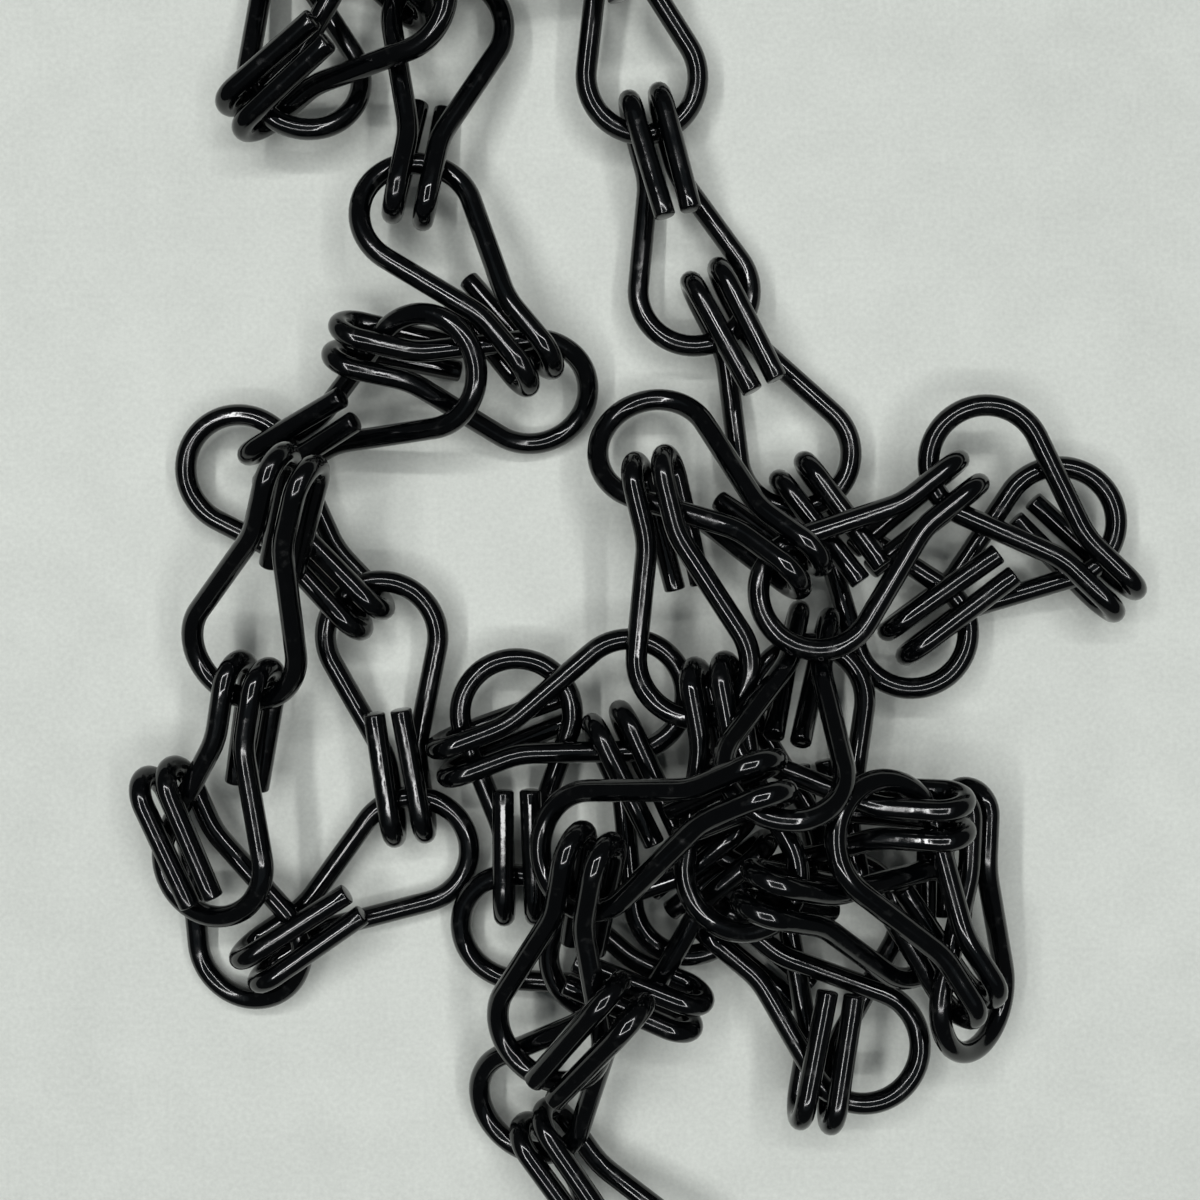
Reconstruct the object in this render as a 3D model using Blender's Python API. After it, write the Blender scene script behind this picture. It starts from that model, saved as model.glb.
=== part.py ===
"""A heap of black wire chain: 44 bent wire links, each hooked over the eye of the next."""

import bmesh
import bpy
import numpy as np
from mathutils import Matrix, Vector

# One link, in millimetres: the wire's thickness, the whole length, the eye's radius at the
# wire's middle, how far the hooked ends lie off the legs, and how the legs run
WIRE = 2.0
LINK_LENGTH = 27.0
EYE_RADIUS = 5.5
HOOK_RISE = 4.8
STUB_REACH = 14.0
LEG_SPACING = 3.0
STUB_SPACING = 2.6
LEG_SLOPE = np.radians(20)
BEFORE_KNEE = 1.5
AFTER_KNEE = 1.4

# How finely the wire is faceted
WIRE_SIDES = 6
HOOK_STEPS = 4
EYE_STEPS = 4

# How high above the floor the places were looked at from, in millimetres
VIEW_HEIGHT = 180.0

# How the links are eased apart: the gap kept between wires, the thickness that the wires
# start with, and the shares of the steps by which they are full and left to come to rest
CLEARANCE = 0.3
THIN_WIRE = 0.5
STEPS = 1200
FULL_FROM = 0.55
REST_FROM = 0.8
PULL_HOME = 0.06
SINKING = 0.01
TURNING_AREA = 64.0
LINK_REACH = 34.0
SPARE_REACH = 1.2
STEPS_PER_SEARCH = 8
FEW_CONTACTS = 1.6
CROWD_POWER = 0.75
STEEPEST = 0.97
TINY = 1e-9

METRE = 0.001

BLACK = (0.012, 0.013, 0.013, 1.0)
GLOSS = 0.22

# The lay of the chain, from its free hooks to its free eye. For each link, as seen from
# above the heap's middle and in millimetres on the floor: the tips of its hooks, the middle
# of its eye, then the height of its hooks' gap, the height of its eye, and its roll in
# degrees. At a roll of 0 the hooked ends lie on top of the legs, and at 180 beneath them.
# Each link but the first has its hooks over the eye of the link before it.
LINKS = [
    ((-29.2, 15.4), (-35.2, -3.4), 15.0, 8.4, 200),
    ((-33.6, -5.3), (-38.6, -26.6), 5.6, 5.0, 195),
    ((-43.8, -15.7), (-35.0, -35.5), 3.4, 2.9, 0),
    ((-35.8, -37.5), (-18.0, -25.7), 3.4, 2.9, 0),
    ((-18.5, -24.9), (-21.9, -3.9), 3.4, 2.9, 0),
    ((-21.1, -2.3), (-36.4, 13.1), 3.4, 2.4, 0),
    ((-36.4, 13.9), (-17.0, 22.5), 3.0, 6.4, 0),
    ((-27.0, 26.0), (-5.7, 20.5), 6.0, 4.6, 180),
    ((-4.0, 22.2), (-18.8, 37.2), 4.0, 5.6, 180),
    ((-19.8, 36.4), (-14.1, 56.4), 6.2, 4.4, 180),
    ((-16.5, 57.7), (-31.6, 72.1), 3.4, 3.2, 0),
    ((-33.6, 71.6), (-29.1, 51.2), 3.4, 4.0, 0),
    ((-36.8, 47.6), (-21.3, 62.0), 2.6, 9.4, 0),
    ((-19.8, 64.3), (1.1, 70.3), 11.0, 4.4, 0),
    ((1.6, 73.3), (4.2, 52.5), 3.4, 2.9, 0),
    ((4.0, 51.2), (9.4, 30.7), 3.4, 2.9, 0),
    ((9.9, 33.5), (19.6, 15.3), 3.4, 2.9, 0),
    ((18.0, 14.2), (30.3, -2.8), 3.4, 2.9, 0),
    ((28.3, -3.5), (46.4, 6.1), 3.4, 2.9, 0),
    ((52.1, -0.4), (36.4, 14.3), 3.8, 5.8, 180),
    ((37.3, 11.8), (21.4, 0.3), 5.0, 11.0, 180),
    ((21.1, 0.6), (5.7, 15.3), 11.6, 5.4, 180),
    ((4.5, 14.9), (9.7, -4.7), 7.5, 6.6, 185),
    ((11.3, -6.0), (14.0, -25.5), 7.0, 12.0, 180),
    ((14.7, -28.0), (32.6, -30.3), 15.0, 5.4, 188),
    ((32.9, -18.3), (37.7, -39.0), 6.4, 5.5, 145),
    ((38.9, -42.0), (29.0, -23.8), 7.8, 12.0, 180),
    ((36.7, -22.2), (17.1, -20.9), 13.4, 8.6, 180),
    ((14.5, -21.2), (0.3, -34.2), 7.4, 5.2, 180),
    ((10.6, -40.3), (-10.2, -33.2), 3.4, 2.9, 0),
    ((-7.5, -31.7), (-8.0, -10.6), 3.4, 2.9, 0),
    ((-16.5, -17.3), (2.4, -8.3), 3.6, 5.4, 180),
    ((2.3, -9.8), (10.6, -28.5), 3.6, 4.8, 0),
    ((11.2, -32.0), (25.0, -44.4), 6.2, 4.0, 180),
    ((21.0, -53.4), (24.9, -32.6), 3.4, 3.4, 0),
    ((22.9, -30.5), (21.2, -9.2), 3.6, 4.8, 180),
    ((20.1, -0.4), (17.8, -15.5), 3.0, 16.0, 180),
    ((17.8, -13.5), (-0.3, -24.2), 18.0, 12.8, 195),
    ((0.2, -22.6), (-5.0, -43.8), 15.0, 10.5, 195),
    ((4.7, -37.5), (-10.6, -50.0), 13.4, 3.4, 0),
    ((-7.9, -50.8), (6.7, -65.6), 3.4, 2.9, 0),
    ((6.7, -68.7), (10.2, -89.5), 3.4, 2.9, 0),
    ((9.0, -91.3), (-11.0, -96.2), 3.4, 2.9, 0),
    ((-13.5, -96.0), (-30.0, -83.5), 3.4, 1.2, 0),
]


def link_line():
    """The middle of one link's wire, from one hooked end to the other, with X towards the eye."""
    bend = HOOK_RISE / 2
    eye_x = LINK_LENGTH - WIRE / 2 - EYE_RADIUS
    leg_y = LEG_SPACING / 2
    points = [(STUB_REACH, STUB_SPACING / 2, HOOK_RISE)]
    for k in range(HOOK_STEPS + 1):
        angle = np.pi / 2 + np.pi * k / HOOK_STEPS
        points.append((WIRE / 2 + bend + bend * np.cos(angle), leg_y, bend + bend * np.sin(angle)))
    touch_x = eye_x - EYE_RADIUS * np.sin(LEG_SLOPE)
    touch_y = EYE_RADIUS * np.cos(LEG_SLOPE)
    knee_x = touch_x - (touch_y - leg_y) / np.tan(LEG_SLOPE)
    points.append((knee_x - BEFORE_KNEE, leg_y, 0))
    points.append((knee_x + AFTER_KNEE, leg_y + AFTER_KNEE * np.tan(LEG_SLOPE), 0))
    first = np.pi / 2 + LEG_SLOPE
    for k in range(EYE_STEPS + 1):
        angle = first * (1 - k / EYE_STEPS)
        points.append((eye_x + EYE_RADIUS * np.cos(angle), EYE_RADIUS * np.sin(angle), 0))
    half = np.array(points)
    return np.vstack([half, half[:-1][::-1] * [1, -1, 1]])


def seen_at(spot, height):
    """The point at this height that hides this spot on the floor."""
    nearer = (VIEW_HEIGHT - height) / VIEW_HEIGHT
    return np.array([spot[0] * nearer, spot[1] * nearer, height])


def first_place(tips, eye, tips_height, eye_height, roll):
    """The turn and the shift that lay one link where it is seen."""
    start = seen_at(tips, tips_height)
    way = seen_at(eye, eye_height) - start
    own_start = np.array([0, 0, HOOK_RISE / 2])
    own_way = np.array([LINK_LENGTH - WIRE / 2 - EYE_RADIUS, 0, 0]) - own_start
    reach = np.linalg.norm(own_way)
    rise = np.clip(way[2] / reach, -STEEPEST, STEEPEST)
    level = way[:2] / np.linalg.norm(way[:2]) * np.sqrt(1 - rise**2)
    along = np.array([level[0], level[1], rise])
    upward = np.array([0, 0, 1.0]) - along * rise
    upward /= np.linalg.norm(upward)
    aside = np.cross(upward, along)
    turn = np.radians(roll)
    rolled_aside = aside * np.cos(turn) + upward * np.sin(turn)
    rolled_up = upward * np.cos(turn) - aside * np.sin(turn)
    own_along = own_way / reach
    own_aside = np.array([0, 1.0, 0])
    own = np.column_stack([own_along, own_aside, np.cross(own_along, own_aside)])
    rotation = np.column_stack([along, rolled_aside, rolled_up]) @ own.T
    return rotation, start - rotation @ own_start


def small_turns(vectors):
    """Rotation matrices for rotation vectors."""
    angle = np.linalg.norm(vectors, axis=1)
    x, y, z = (vectors / np.maximum(angle, TINY)[:, None]).T
    none = np.zeros(len(vectors))
    cross = np.stack([none, -z, y, z, none, -x, -y, x, none], axis=1).reshape(-1, 3, 3)
    sine = np.sin(angle)[:, None, None]
    rest = (1 - np.cos(angle))[:, None, None]
    return np.eye(3) + sine * cross + rest * (cross @ cross)


def near_pairs(wires, middles, thickness):
    """The stretches of wire of different links that may meet, as (link, stretch) twice."""
    centres = (wires[:, 1:] + wires[:, :-1]) / 2
    half = np.linalg.norm(wires[0, 1:] - wires[0, :-1], axis=1) / 2
    reach = half[:, None] + half[None] + thickness + SPARE_REACH
    pairs = []
    for one in range(len(wires)):
        for other in range(one + 1, len(wires)):
            if np.linalg.norm(middles[one] - middles[other]) > LINK_REACH:
                continue
            apart = np.linalg.norm(centres[one][:, None] - centres[other][None], axis=2)
            first, second = np.nonzero(apart < reach)
            links = np.full(len(first), one), np.full(len(first), other)
            pairs.append(np.stack([links[0], first, links[1], second], axis=1))
    return np.vstack(pairs)


def closest_points(start_a, end_a, start_b, end_b):
    """Where pairs of straight stretches are closest: a point on each."""
    way_a = end_a - start_a
    way_b = end_b - start_b
    between = start_a - start_b
    aa = (way_a * way_a).sum(axis=1)
    bb = (way_b * way_b).sum(axis=1)
    ab = (way_a * way_b).sum(axis=1)
    ac = (way_a * between).sum(axis=1)
    bc = (way_b * between).sum(axis=1)
    spread = aa * bb - ab * ab
    slanted = np.clip((ab * bc - ac * bb) / np.maximum(spread, TINY), 0, 1)
    share_a = np.where(spread > TINY, slanted, 0.5)
    share_b = np.clip((ab * share_a + bc) / bb, 0, 1)
    share_a = np.clip((ab * share_b - ac) / aa, 0, 1)
    return start_a + way_a * share_a[:, None], start_b + way_b * share_b[:, None]


def ease_apart(line, rotations, middles):
    """Moves the links off each other and off the floor, while their wires thicken."""
    count = len(rotations)
    own = line - line.mean(axis=0)
    home = np.einsum("nij,mj->nmi", rotations, own) + middles[:, None]
    full = WIRE + CLEARANCE
    upright = np.array([0, 0, 1.0])
    for step in range(STEPS):
        share = step / STEPS
        thickness = THIN_WIRE + (full - THIN_WIRE) * min(1, share / FULL_FROM)
        wires = np.einsum("nij,mj->nmi", rotations, own) + middles[:, None]
        if step % STEPS_PER_SEARCH == 0:
            one, first, other, second = near_pairs(wires, middles, thickness).T
        at_one, at_other = closest_points(
            wires[one, first], wires[one, first + 1], wires[other, second], wires[other, second + 1])
        apart = at_one - at_other
        distance = np.linalg.norm(apart, axis=1)
        meet = distance < thickness
        a, b = one[meet], other[meet]
        push = apart[meet] / np.maximum(distance[meet], TINY)[:, None]
        turn_a = np.cross(at_one[meet] - middles[a], push)
        turn_b = np.cross(at_other[meet] - middles[b], push)
        turning = ((turn_a**2).sum(axis=1) + (turn_b**2).sum(axis=1)) / TURNING_AREA
        amount = ((thickness - distance[meet]) / (2 + turning))[:, None]
        shift = np.zeros((count, 3))
        spin = np.zeros((count, 3))
        contacts = np.zeros(count)
        for link, arm, sign in ((a, turn_a, 1), (b, turn_b, -1)):
            np.add.at(shift, link, sign * push * amount)
            np.add.at(spin, link, sign * arm * amount / TURNING_AREA)
            np.add.at(contacts, link, 1)
        low, point = np.nonzero(wires[:, :, 2] < WIRE / 2)
        turn = np.cross(wires[low, point] - middles[low], upright)
        lift = (WIRE / 2 - wires[low, point, 2]) / (1 + (turn**2).sum(axis=1) / TURNING_AREA)
        np.add.at(shift, low, lift[:, None] * upright)
        np.add.at(spin, low, turn * lift[:, None] / TURNING_AREA)
        np.add.at(contacts, low, 1)
        ease = (FEW_CONTACTS / np.maximum(contacts, FEW_CONTACTS) ** CROWD_POWER)[:, None]
        middles = middles + shift * ease
        spin = spin * ease
        if share <= REST_FROM:
            off = (home - wires) * [1, 1, 0]
            middles = middles + PULL_HOME * off.mean(axis=1)
            middles = middles - SINKING * (1 - share) * upright
            arms = wires - middles[:, None]
            spin = spin + PULL_HOME * np.cross(arms, off).mean(axis=1) / TURNING_AREA
        rotations = small_turns(spin) @ rotations
    return rotations, middles


def wire_mesh(line):
    """The solid of one bent wire, with flat ends."""
    points = [Vector(point) * METRE for point in line]
    ways = [(after - before).normalized() for before, after in zip(points[:-1], points[1:])]
    mesh = bmesh.new()
    rings = []
    outward = ways[0].orthogonal().normalized()
    for k, point in enumerate(points):
        before = ways[max(k - 1, 0)]
        after = ways[min(k, len(ways) - 1)]
        outward = before.rotation_difference(after) @ outward
        facing = (before + after).normalized()
        ring = []
        for side in range(WIRE_SIDES):
            around = Matrix.Rotation(2 * np.pi * side / WIRE_SIDES, 3, after)
            corner = around @ outward * (WIRE / 2 * METRE)
            corner -= after * (corner.dot(facing) / after.dot(facing))
            ring.append(mesh.verts.new(point + corner))
        rings.append(ring)
    for ring, beyond in zip(rings[:-1], rings[1:]):
        for side in range(WIRE_SIDES):
            following = (side + 1) % WIRE_SIDES
            mesh.faces.new((ring[side], ring[following], beyond[following], beyond[side]))
    mesh.faces.new(rings[0][::-1])
    mesh.faces.new(rings[-1])
    bmesh.ops.recalc_face_normals(mesh, faces=mesh.faces)
    data = bpy.data.meshes.new("link")
    mesh.to_mesh(data)
    mesh.free()
    data.shade_smooth()
    data.set_sharp_from_angle(angle=np.radians(50))
    return data


def black_coating():
    """Glossy black paint over the wire."""
    material = bpy.data.materials.new("black_coating")
    material.use_nodes = True
    shader = material.node_tree.nodes["Principled BSDF"]
    shader.inputs["Base Color"].default_value = BLACK
    shader.inputs["Roughness"].default_value = GLOSS
    shader.inputs["Metallic"].default_value = 0.0
    return material


for leftover in list(bpy.data.objects):
    bpy.data.objects.remove(leftover)

line = link_line()
middle = line.mean(axis=0)
places = [first_place(*link) for link in LINKS]
rotations = np.array([rotation for rotation, shift in places])
middles = np.array([rotation @ middle + shift for rotation, shift in places])
rotations, middles = ease_apart(line, rotations, middles)

data = wire_mesh(line)
data.materials.append(black_coating())
corners = np.array([vertex.co for vertex in data.vertices]) / METRE
laid = np.einsum("nij,mj->nmi", rotations, corners - middle) + middles[:, None]
low, high = laid.min(axis=(0, 1)), laid.max(axis=(0, 1))
foot = np.array([(low[0] + high[0]) / 2, (low[1] + high[1]) / 2, low[2]])

for number, (rotation, centre) in enumerate(zip(rotations, middles), start=1):
    link = bpy.data.objects.new(f"link_{number:02d}", data)
    link.rotation_euler = Matrix(rotation.tolist()).to_euler()
    link.location = (centre - rotation @ middle - foot) * METRE
    bpy.context.scene.collection.objects.link(link)
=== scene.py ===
"""A loose heap of black coated wire chain on a pale board, seen from straight above."""

from math import cos, pi, radians, sin, tan

import bpy
import numpy as np
from mathutils import Matrix, Vector


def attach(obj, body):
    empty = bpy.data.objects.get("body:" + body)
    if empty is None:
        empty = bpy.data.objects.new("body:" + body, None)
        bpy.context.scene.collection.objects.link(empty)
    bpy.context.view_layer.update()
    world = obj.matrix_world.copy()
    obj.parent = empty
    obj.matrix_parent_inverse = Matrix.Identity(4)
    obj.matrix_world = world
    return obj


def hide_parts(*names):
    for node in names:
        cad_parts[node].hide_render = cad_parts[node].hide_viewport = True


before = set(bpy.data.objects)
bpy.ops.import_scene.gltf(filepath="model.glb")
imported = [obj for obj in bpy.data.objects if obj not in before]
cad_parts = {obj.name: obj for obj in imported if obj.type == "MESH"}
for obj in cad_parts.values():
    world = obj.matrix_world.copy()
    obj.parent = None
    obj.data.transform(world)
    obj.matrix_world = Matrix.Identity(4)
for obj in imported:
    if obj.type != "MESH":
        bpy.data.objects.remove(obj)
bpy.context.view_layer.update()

# The camera
# The heap was photographed from straight above, from about a hand's length away, with a
# picture 120 mm wide on the floor. The chain runs out of it at the top and the bottom.
MM = 0.001
VIEW_HEIGHT = 180.0 * MM
VIEW_WIDTH = 120.0 * MM
VIEW_MIDDLE = (-4.16 * MM, 12.04 * MM)
SENSOR = 36.0
NEAREST = 10.0 * MM
FURTHEST = 10.0

lens = bpy.data.cameras.new("above")
lens.sensor_width = SENSOR
lens.lens = SENSOR * VIEW_HEIGHT / VIEW_WIDTH
lens.clip_start = NEAREST
lens.clip_end = FURTHEST
camera = bpy.data.objects.new("camera", lens)
camera.location = (*VIEW_MIDDLE, VIEW_HEIGHT)
bpy.context.scene.collection.objects.link(camera)
bpy.context.scene.camera = camera


# The wire link
# One length of 2 mm steel wire, its middle bent round a pin into an eye and both ends bent
# back side by side into hooks. It is drawn as the wire runs, from a cut end to half the eye.
WIRE = 2.0 * MM
COAT = 0.05 * MM
LINK_LENGTH = 27.0 * MM
EYE_RADIUS = 5.5 * MM
HOOK_RISE = 4.8 * MM
STUB_REACH = 14.0 * MM
LEG_SPACING = 3.0 * MM
STUB_SPACING = 2.6 * MM
LEG_SLOPE = radians(20)
KNEE_RADIUS = 8.0 * MM
END_ROUNDING = 0.22 * MM
WIRE_SIDES = 16
END_STEPS = 3
HOOK_STEPS = 18
KNEE_STEPS = 4
EYE_STEPS = 22
RUN_STEP = 1.0 * MM
SAME_SPOT = 0.01 * MM
SMOOTH_BELOW = radians(50)


def run_straight(way):
    """Draws the wire on along a straight way, in equal short lengths."""
    count = round(Vector(way).length / RUN_STEP)
    for _ in range(count):
        bpy.ops.mesh.extrude_region_move(TRANSFORM_OT_translate={"value": Vector(way) / count})


def round_end(tip, radius):
    """Widens the cut end's small face to the full wire, in a rounded rim."""
    small = radius - END_ROUNDING
    size, depth = small, 0.0
    for k in range(1, END_STEPS + 1):
        angle = pi / 2 * k / END_STEPS
        wider = small + END_ROUNDING * sin(angle)
        deeper = END_ROUNDING * (1 - cos(angle))
        bpy.ops.mesh.extrude_region_move(TRANSFORM_OT_translate={"value": (depth - deeper, 0, 0)})
        bpy.ops.transform.resize(
            value=(wider / size,) * 3, center_override=(tip[0] - deeper, tip[1], tip[2]))
        size, depth = wider, deeper


def bend_link():
    """One link, flat on its legs at the origin, with X towards its eye."""
    bend = HOOK_RISE / 2
    hook_x = WIRE / 2 + bend
    leg_y = LEG_SPACING / 2
    stub_y = STUB_SPACING / 2
    eye_x = LINK_LENGTH - WIRE / 2 - EYE_RADIUS
    touch_x = eye_x - EYE_RADIUS * sin(LEG_SLOPE)
    touch_y = EYE_RADIUS * cos(LEG_SLOPE)
    knee_end_y = leg_y + KNEE_RADIUS * (1 - cos(LEG_SLOPE))
    knee_end_x = touch_x - (touch_y - knee_end_y) / tan(LEG_SLOPE)
    knee_x = knee_end_x - KNEE_RADIUS * sin(LEG_SLOPE)
    tip = (STUB_REACH, stub_y, HOOK_RISE)
    radius = WIRE / 2 + COAT

    bpy.ops.object.select_all(action="DESELECT")
    bpy.ops.mesh.primitive_circle_add(
        vertices=WIRE_SIDES, radius=radius - END_ROUNDING, fill_type="NGON",
        location=tip, rotation=(0, pi / 2, 0))
    link = bpy.context.object
    bpy.ops.object.transform_apply()
    bpy.ops.object.mode_set(mode="EDIT")
    bpy.ops.mesh.select_all(action="SELECT")
    round_end(tip, radius)
    run_straight((hook_x + END_ROUNDING - STUB_REACH, leg_y - stub_y, 0))
    bpy.ops.mesh.spin(steps=HOOK_STEPS, angle=pi, center=(hook_x, 0, bend), axis=(0, 1, 0))
    run_straight((knee_x - hook_x, 0, 0))
    bpy.ops.mesh.spin(
        steps=KNEE_STEPS, angle=-LEG_SLOPE, center=(knee_x, leg_y + KNEE_RADIUS, 0), axis=(0, 0, 1))
    run_straight((touch_x - knee_end_x, touch_y - knee_end_y, 0))
    bpy.ops.mesh.spin(
        steps=EYE_STEPS, angle=pi / 2 + LEG_SLOPE, center=(eye_x, 0, 0), axis=(0, 0, 1))
    bpy.ops.mesh.delete(type="ONLY_FACE")
    bpy.ops.object.mode_set(mode="OBJECT")
    mirror = link.modifiers.new("other_half", "MIRROR")
    mirror.use_axis = (False, True, False)
    mirror.merge_threshold = SAME_SPOT
    bpy.ops.object.modifier_apply(modifier=mirror.name)
    bpy.ops.object.mode_set(mode="EDIT")
    bpy.ops.mesh.select_all(action="SELECT")
    bpy.ops.mesh.normals_make_consistent(inside=False)
    bpy.ops.object.mode_set(mode="OBJECT")
    bpy.ops.object.shade_smooth_by_angle(angle=SMOOTH_BELOW)
    return link


def stance(mesh):
    """The middle of a solid and its three own axes: along it, across it and up from it."""
    mesh.calc_loop_triangles()
    points = np.array([vertex.co for vertex in mesh.vertices])
    corners = points[np.array([triangle.vertices for triangle in mesh.loop_triangles])]
    start = points.mean(axis=0)
    a, b, c = (corners[:, k] - start for k in range(3))
    volumes = np.einsum("ij,ij->i", a, np.cross(b, c)) / 6
    weights = volumes / volumes.sum()
    middle = ((a + b + c) / 4 * weights[:, None]).sum(axis=0)
    tips = np.stack([a, b, c, np.zeros_like(a)]) - middle
    whole = tips.sum(axis=0)
    spread = np.einsum("n,ni,nj->ij", weights, whole, whole)
    spread += np.einsum("n,kni,knj->ij", weights, tips, tips)
    axes = np.linalg.eigh(spread)[1][:, ::-1]
    along, up = axes[:, 0], axes[:, 2]
    if skew(tips, weights, along) > 0:
        along = -along
    if skew(tips, weights, up) < 0:
        up = -up
    turn = Matrix(np.column_stack([along, np.cross(up, along), up]).tolist())
    return Matrix.Translation(Vector(start + middle)) @ turn.to_4x4()


def skew(tips, weights, way):
    """How far a solid's weight reaches out to one side along a way more than to the other."""
    reach = tips @ way
    first, second, third = reach.sum(axis=0), (reach**2).sum(axis=0), (reach**3).sum(axis=0)
    return (weights * (first**3 + 3 * first * second + 2 * third)).sum()


pattern = bend_link()
from_pattern = stance(pattern.data).inverted()
links = []
for name in sorted(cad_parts):
    data = pattern.data.copy()
    data.transform(stance(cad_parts[name].data) @ from_pattern)
    piece = bpy.data.objects.new(name.replace("link", "wire_link"), data)
    bpy.context.scene.collection.objects.link(piece)
    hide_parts(name)
    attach(piece, "root")
    links.append(piece)
bpy.data.objects.remove(pattern)


# The coating
# The wire is dipped or sprayed black and is very glossy. The coat has flowed a little, so
# the light breaks up along it, and it is duller where the links have rubbed in the box.
COAT_BLACK = (0.0006, 0.0009, 0.0012, 1)
RUBBED_BLACK = (0.0060, 0.0065, 0.0065, 1)
COAT_IOR = 1.52
WAVE_DEPTH = 0.12 * MM
WAVES_PER_METRE = 420.0
RUBS_PER_METRE = 900.0
GRAINS_PER_METRE = 5200.0


class Socket:
    """An output of a node, which takes part in sums as a number does."""

    def __init__(self, tree, output):
        self.tree, self.output = tree, output

    def make(self, kind, settings=(), **values):
        """A node of this kind with these settings, and with these values or links."""
        node = self.tree.nodes.new(kind)
        for name, setting in dict(settings).items():
            if name == "stops":
                for place, colour in setting:
                    node.color_ramp.elements.new(place).color = (*colour, 1)
                for end in (0, -1):
                    node.color_ramp.elements.remove(node.color_ramp.elements[end])
            else:
                setattr(node, name, setting)
        for name, value in values.items():
            socket = node.inputs[int(name[2:]) if name.startswith("in") else name]
            if isinstance(value, Socket):
                self.tree.links.new(value.output, socket)
            else:
                socket.default_value = value
        return node

    def out(self, node, name=0):
        return Socket(self.tree, node.outputs[name])

    def noise(self, scale, detail):
        """Soft noise over these coordinates, from 0 to 1."""
        return self.out(self.make("ShaderNodeTexNoise", Vector=self, Scale=scale, Detail=detail))

    def ramp(self, low, high):
        """0 up to the low value, 1 from the high value on."""
        return self.out(self.make("ShaderNodeMapRange", in0=self, in1=low, in2=high))

    def maths(self, operation, other):
        return self.out(self.make("ShaderNodeMath", {"operation": operation}, in0=self, in1=other))

    def __add__(self, other):
        return self.maths("ADD", other)

    def __mul__(self, other):
        return self.maths("MULTIPLY", other)

    __radd__ = __add__
    __rmul__ = __mul__


def coating():
    """Glossy black paint with slow waves, fine grit and a few rubbed places."""
    material = bpy.data.materials.new("black_coating")
    material.use_nodes = True
    tree = material.node_tree
    shader = tree.nodes["Principled BSDF"]
    place = Socket(tree, tree.nodes.new("ShaderNodeTexCoord").outputs["Object"])

    waves = place.noise(WAVES_PER_METRE, 2.0)
    grains = place.noise(GRAINS_PER_METRE, 3.0)
    rubbed = place.noise(RUBS_PER_METRE, 4.0).ramp(0.60, 0.72)
    roughness = 0.03 + 0.10 * waves.ramp(0.40, 0.62) + 0.04 * grains + 0.16 * rubbed
    tree.links.new(roughness.output, shader.inputs["Roughness"])
    tint = place.make(
        "ShaderNodeMix", {"data_type": "RGBA"}, in0=rubbed, in6=COAT_BLACK, in7=RUBBED_BLACK)
    tree.links.new(tint.outputs[2], shader.inputs["Base Color"])
    shader.inputs["Metallic"].default_value = 0.0
    shader.inputs["IOR"].default_value = COAT_IOR
    height = 0.8 * waves + 0.05 * grains
    bump = place.make("ShaderNodeBump", Strength=0.35, Distance=WAVE_DEPTH, Height=height)
    tree.links.new(bump.outputs["Normal"], shader.inputs["Normal"])
    return material


black = coating()
for piece in links:
    piece.data.materials.clear()
    piece.data.materials.append(black)


# The floor
# A plain, matt, pale board, faced with paper that has a faint tooth and slightly darker
# blotches and clouds.
FLOOR_SIZE = 4.0
PALE = (0.762, 0.793, 0.741)
LESS_PALE = (0.61, 0.635, 0.593)
TOOTH_DEPTH = 0.05 * MM
TEETH_PER_METRE = 2200.0
BLOTCHES_PER_METRE = 170.0
CLOUDS_PER_METRE = 26.0


def pale_board():
    """Matt off-white paper with a faint grain, blotches and slow clouds."""
    material = bpy.data.materials.new("pale_board")
    material.use_nodes = True
    tree = material.node_tree
    shader = tree.nodes["Principled BSDF"]
    place = Socket(tree, tree.nodes.new("ShaderNodeTexCoord").outputs["Object"])
    tooth = place.noise(TEETH_PER_METRE, 3.0)
    blotches = place.noise(BLOTCHES_PER_METRE, 3.0)
    clouds = place.noise(CLOUDS_PER_METRE, 2.0)
    shade = 0.5 * tooth + 0.25 * blotches + 0.25 * clouds
    tint = place.make("ShaderNodeValToRGB", {"stops": [(0.3, LESS_PALE), (0.7, PALE)]}, in0=shade)
    tree.links.new(tint.outputs["Color"], shader.inputs["Base Color"])
    shader.inputs["Roughness"].default_value = 0.75
    bump = place.make("ShaderNodeBump", Strength=0.15, Distance=TOOTH_DEPTH, Height=tooth)
    tree.links.new(bump.outputs["Normal"], shader.inputs["Normal"])
    return material


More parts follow.
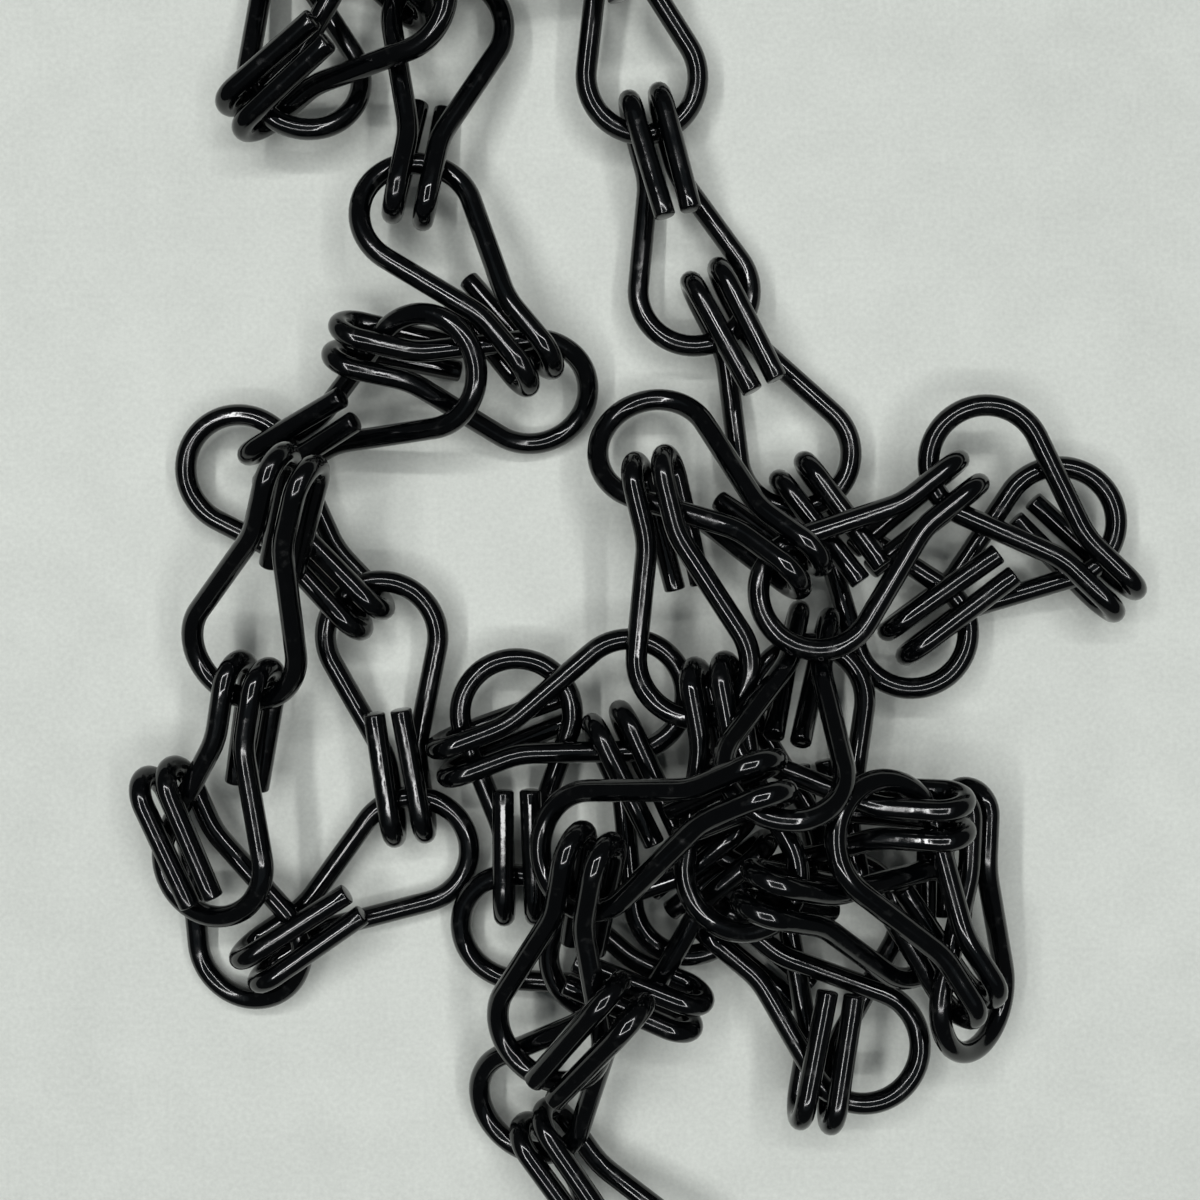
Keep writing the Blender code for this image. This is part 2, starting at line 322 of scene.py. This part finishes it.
bpy.ops.object.select_all(action="DESELECT")
lowest = min(vertex.co.z for piece in links for vertex in piece.data.vertices)
bpy.ops.mesh.primitive_plane_add(size=FLOOR_SIZE, location=(0, 0, lowest))
floor = bpy.context.object
floor.name = "floor"
floor.data.materials.append(pale_board())


# The light
# Four thin strip lamps hang in a square round the camera, so that the tops of the wires
# mirror two thin bright lines, and a wide dim panel over them gives the bluish crest between.
LAMP_HEIGHT = 0.60
LAMP_SPAN = 0.53
LAMP_WIDTH = 0.032
LAMP_GLOW = 21.8
LAMP_TINT = (1.0, 1.0, 1.0)
PANEL_HEIGHT = 1.10
PANEL_SIZE = 1.7
PANEL_GLOW = 0.10
PANEL_TINT = (0.72, 0.90, 1.0)
ROOM_GLOW = 0.05
ROOM_TINT = (0.93, 0.97, 1.0, 1)


def hang_lamp(name, shift, size, height, glow, tint):
    """A flat lamp of this size and glow that faces down, shifted from over the camera."""
    data = bpy.data.lights.new(name, "AREA")
    data.shape = "RECTANGLE"
    data.size, data.size_y = size
    data.energy = glow * pi * size[0] * size[1]
    data.color = tint
    light = bpy.data.objects.new(name, data)
    light.location = (VIEW_MIDDLE[0] + shift[0], VIEW_MIDDLE[1] + shift[1], height)
    bpy.context.scene.collection.objects.link(light)


half_span = LAMP_SPAN / 2
long_strip = (LAMP_SPAN + LAMP_WIDTH, LAMP_WIDTH)
short_strip = (LAMP_WIDTH, LAMP_SPAN - LAMP_WIDTH)
for name, shift, size, share in (
        ("far_lamp", (0, half_span), long_strip, 1.1),
        ("near_lamp", (0, -half_span), long_strip, 0.8),
        ("left_lamp", (-half_span, 0), short_strip, 1.3),
        ("right_lamp", (half_span, 0), short_strip, 0.8)):
    hang_lamp(name, shift, size, LAMP_HEIGHT, LAMP_GLOW * share, LAMP_TINT)
hang_lamp("panel", (0, 0), (PANEL_SIZE, PANEL_SIZE), PANEL_HEIGHT, PANEL_GLOW, PANEL_TINT)

world = bpy.data.worlds.new("room")
bpy.context.scene.world = world
world.use_nodes = True
room = world.node_tree.nodes["Background"].inputs
room["Color"].default_value = ROOM_TINT
room["Strength"].default_value = ROOM_GLOW
bpy.context.scene.view_settings.view_transform = "Standard"
